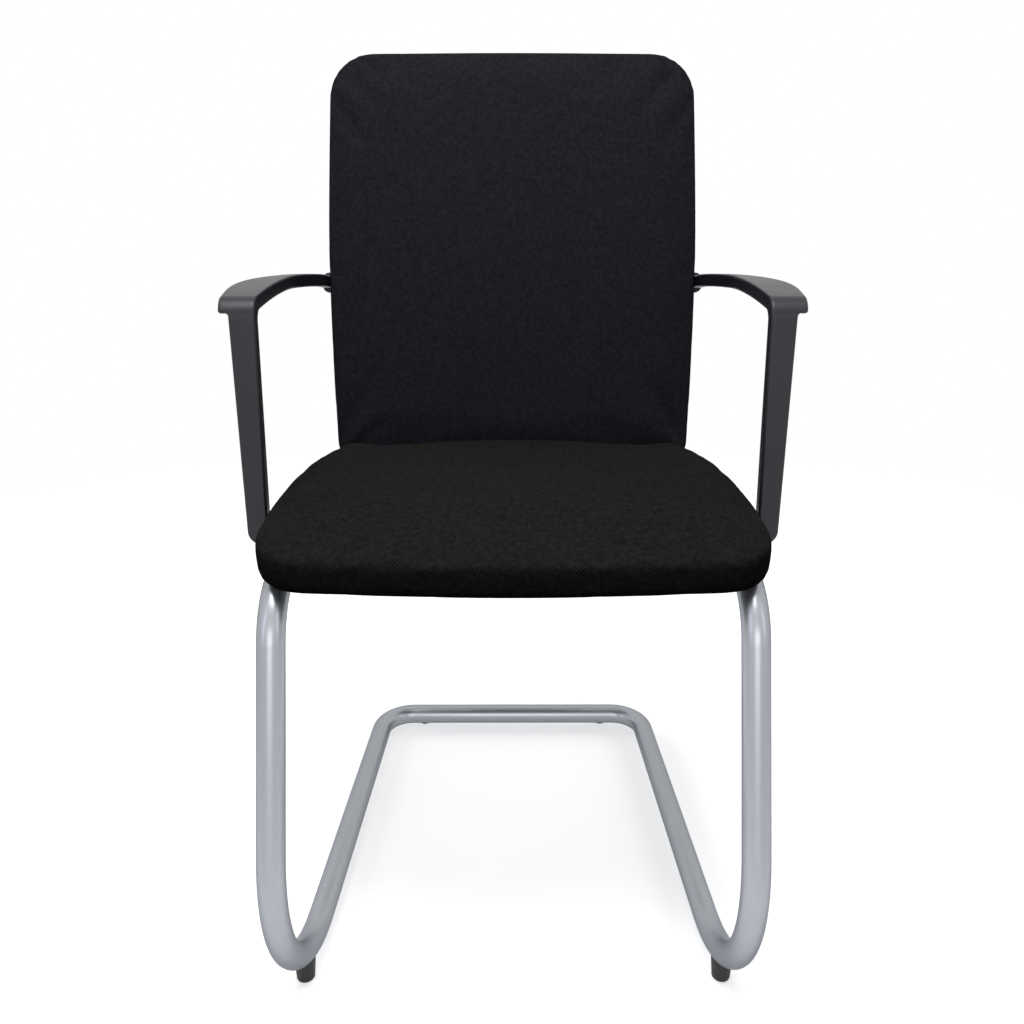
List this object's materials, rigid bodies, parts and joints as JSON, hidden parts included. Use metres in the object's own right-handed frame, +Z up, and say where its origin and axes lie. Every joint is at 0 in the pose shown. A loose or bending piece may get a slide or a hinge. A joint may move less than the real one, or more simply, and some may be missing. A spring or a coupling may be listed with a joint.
{
  "type": "cantilever chair",
  "caption": "Cantilever armchair: a continuous bent silver tube carries a black upholstered seat and curved padded back, with moulded plastic arms bridging from seat rails to back.",
  "frame": {"origin": "on the floor, at the centre of the chair's overall outline", "axes": "+Z up from the floor, the chair faces -Y, +X to the viewer's right when seen from the front"},
  "size_m": [0.5784, 0.6219, 0.9091],
  "materials": {
    "silver_paint": "satin silver paint",
    "black_paint": "semi-matt black paint",
    "black_glide": "moulded, matt black",
    "black_shell": "fine-grained black",
    "plywood": "moulded beech plywood, unlacquered",
    "black_fabric": "finely woven, near black",
    "arm_plastic": "satin moulded black",
    "zinc_steel": "zinc-plated",
    "brass": "turned"
  },
  "bodies": {
    "root": {"frame_tube": "silver_paint", "front_cross_strip": "black_paint", "rear_cross_strip": "black_paint", "back_upright": "black_paint", "front_glide_left": "black_glide", "front_glide_right": "black_glide", "rear_glide_left": "black_glide", "rear_glide_right": "black_glide", "rail_plug_left": "black_glide", "rail_plug_right": "black_glide", "seat_pan": "black_shell", "back_shell": "black_shell", "seat_board": "plywood", "back_board": "plywood", "seat_cushion": "black_fabric", "back_cushion": "black_fabric", "arm_left": "arm_plastic", "arm_right": "arm_plastic", "seat_bolts": "zinc_steel", "seat_tee_nuts": "zinc_steel", "upright_bolts": "zinc_steel", "upright_tee_nuts": "zinc_steel", "back_bolts": "zinc_steel", "back_tee_nuts": "zinc_steel", "arm_foot_bolts": "zinc_steel", "arm_end_bolts": "zinc_steel", "arm_end_tee_nuts": "zinc_steel", "arm_foot_inserts": "brass"}
  },
  "joints": []
}
